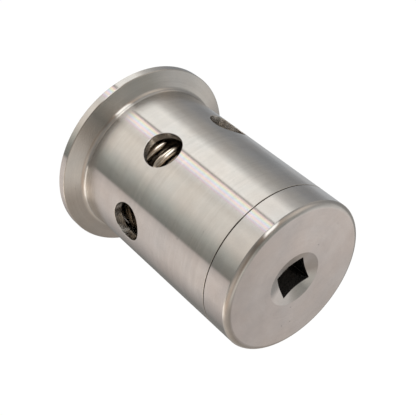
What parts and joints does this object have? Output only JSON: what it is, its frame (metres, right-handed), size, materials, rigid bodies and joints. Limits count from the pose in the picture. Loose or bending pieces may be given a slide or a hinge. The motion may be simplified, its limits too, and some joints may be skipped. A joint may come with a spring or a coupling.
{
  "type": "pressure relief valve",
  "caption": "Spring-loaded relief valve on a clamp ferrule: round barrel with radial vent windows over a coil spring, and a screwed end cap with a square drive.",
  "frame": {"origin": "centre of the ferrule's sealing face, the bottom of the valve when it stands on its ferrule", "axes": "+Z along the valve's axis from the ferrule to the end cap; one vent window faces -Y"},
  "size_m": [0.0505, 0.0504, 0.0612],
  "materials": {
    "barrel_steel": "fine turned stainless steel",
    "cap_steel": "fine turned stainless steel, satin face",
    "machined_steel": "bright machined stainless steel",
    "fastener_steel": "stainless fastener steel",
    "spring_wire": "glossy drawn stainless spring wire",
    "black_rubber": "matte black elastomer",
    "white_ptfe": "waxy white PTFE",
    "bronze": "plain bearing bronze",
    "nylon": "natural nylon"
  },
  "bodies": {
    "housing": {"valve_body": "barrel_steel", "seat_insert": "machined_steel", "seat_oring": "black_rubber", "spring": "spring_wire"},
    "poppet": {"poppet_disc": "machined_steel", "poppet_seal": "white_ptfe", "seal_retainer": "machined_steel", "retaining_screw": "fastener_steel", "lock_washer": "fastener_steel", "stem": "machined_steel", "lower_spring_cup": "machined_steel"},
    "upper_seat": {"upper_spring_cup": "machined_steel", "guide_bush": "white_ptfe", "thrust_washer": "bronze"},
    "cap": {"end_cap": "cap_steel", "cap_seal": "black_rubber", "lock_pellet": "nylon"}
  },
  "joints": [
    {"name": "poppet_lift", "type": "slide", "parent": "housing", "child": "poppet", "axis": [0, 0, 1], "range_m": [0, 0.005], "stiffness_N_per_m": 4000, "springref_m": -0.02, "deforming": ["spring"]},
    {"name": "cap_travel", "type": "slide", "parent": "housing", "child": "upper_seat", "axis": [0, 0, 1], "range_m": [0, 0.006], "deforming": ["spring"]},
    {"name": "cap_turn", "type": "hinge", "parent": "upper_seat", "child": "cap", "pos_m": [0, 0, 0.053], "axis": [0, 0, 1], "range_deg": [0, 1440]}
  ],
  "couplings": [
    {"joint": "cap_turn", "follows": "cap_travel", "rad_per_m": 4188.8}
  ]
}
